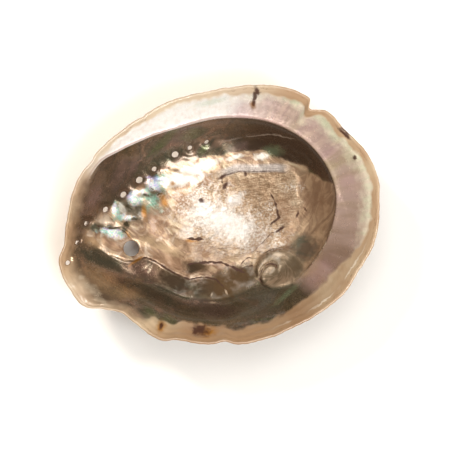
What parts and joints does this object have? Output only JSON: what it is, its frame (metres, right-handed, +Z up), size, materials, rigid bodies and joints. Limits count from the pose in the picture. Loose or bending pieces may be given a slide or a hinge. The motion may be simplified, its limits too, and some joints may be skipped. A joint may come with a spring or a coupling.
{
  "type": "abalone shell",
  "caption": "Ear-shaped seashell lying on its back: a shallow pearly bowl with a broad flat shelf, an inner coil, a curved row of pores and a drilled drain hole.",
  "frame": {"origin": "middle of the bounding box, at the height of the surface that the shell lies on", "axes": "+Z up, out of the shell's mouth; +X along the length towards the spire end; +Y towards the flat shelf beside the pores"},
  "size_m": [0.1666, 0.1286, 0.0412],
  "materials": {
    "nacre": "pearly and glossy inside, dull and rough on the back"
  },
  "bodies": {
    "root": {"shell": "nacre"}
  },
  "joints": []
}
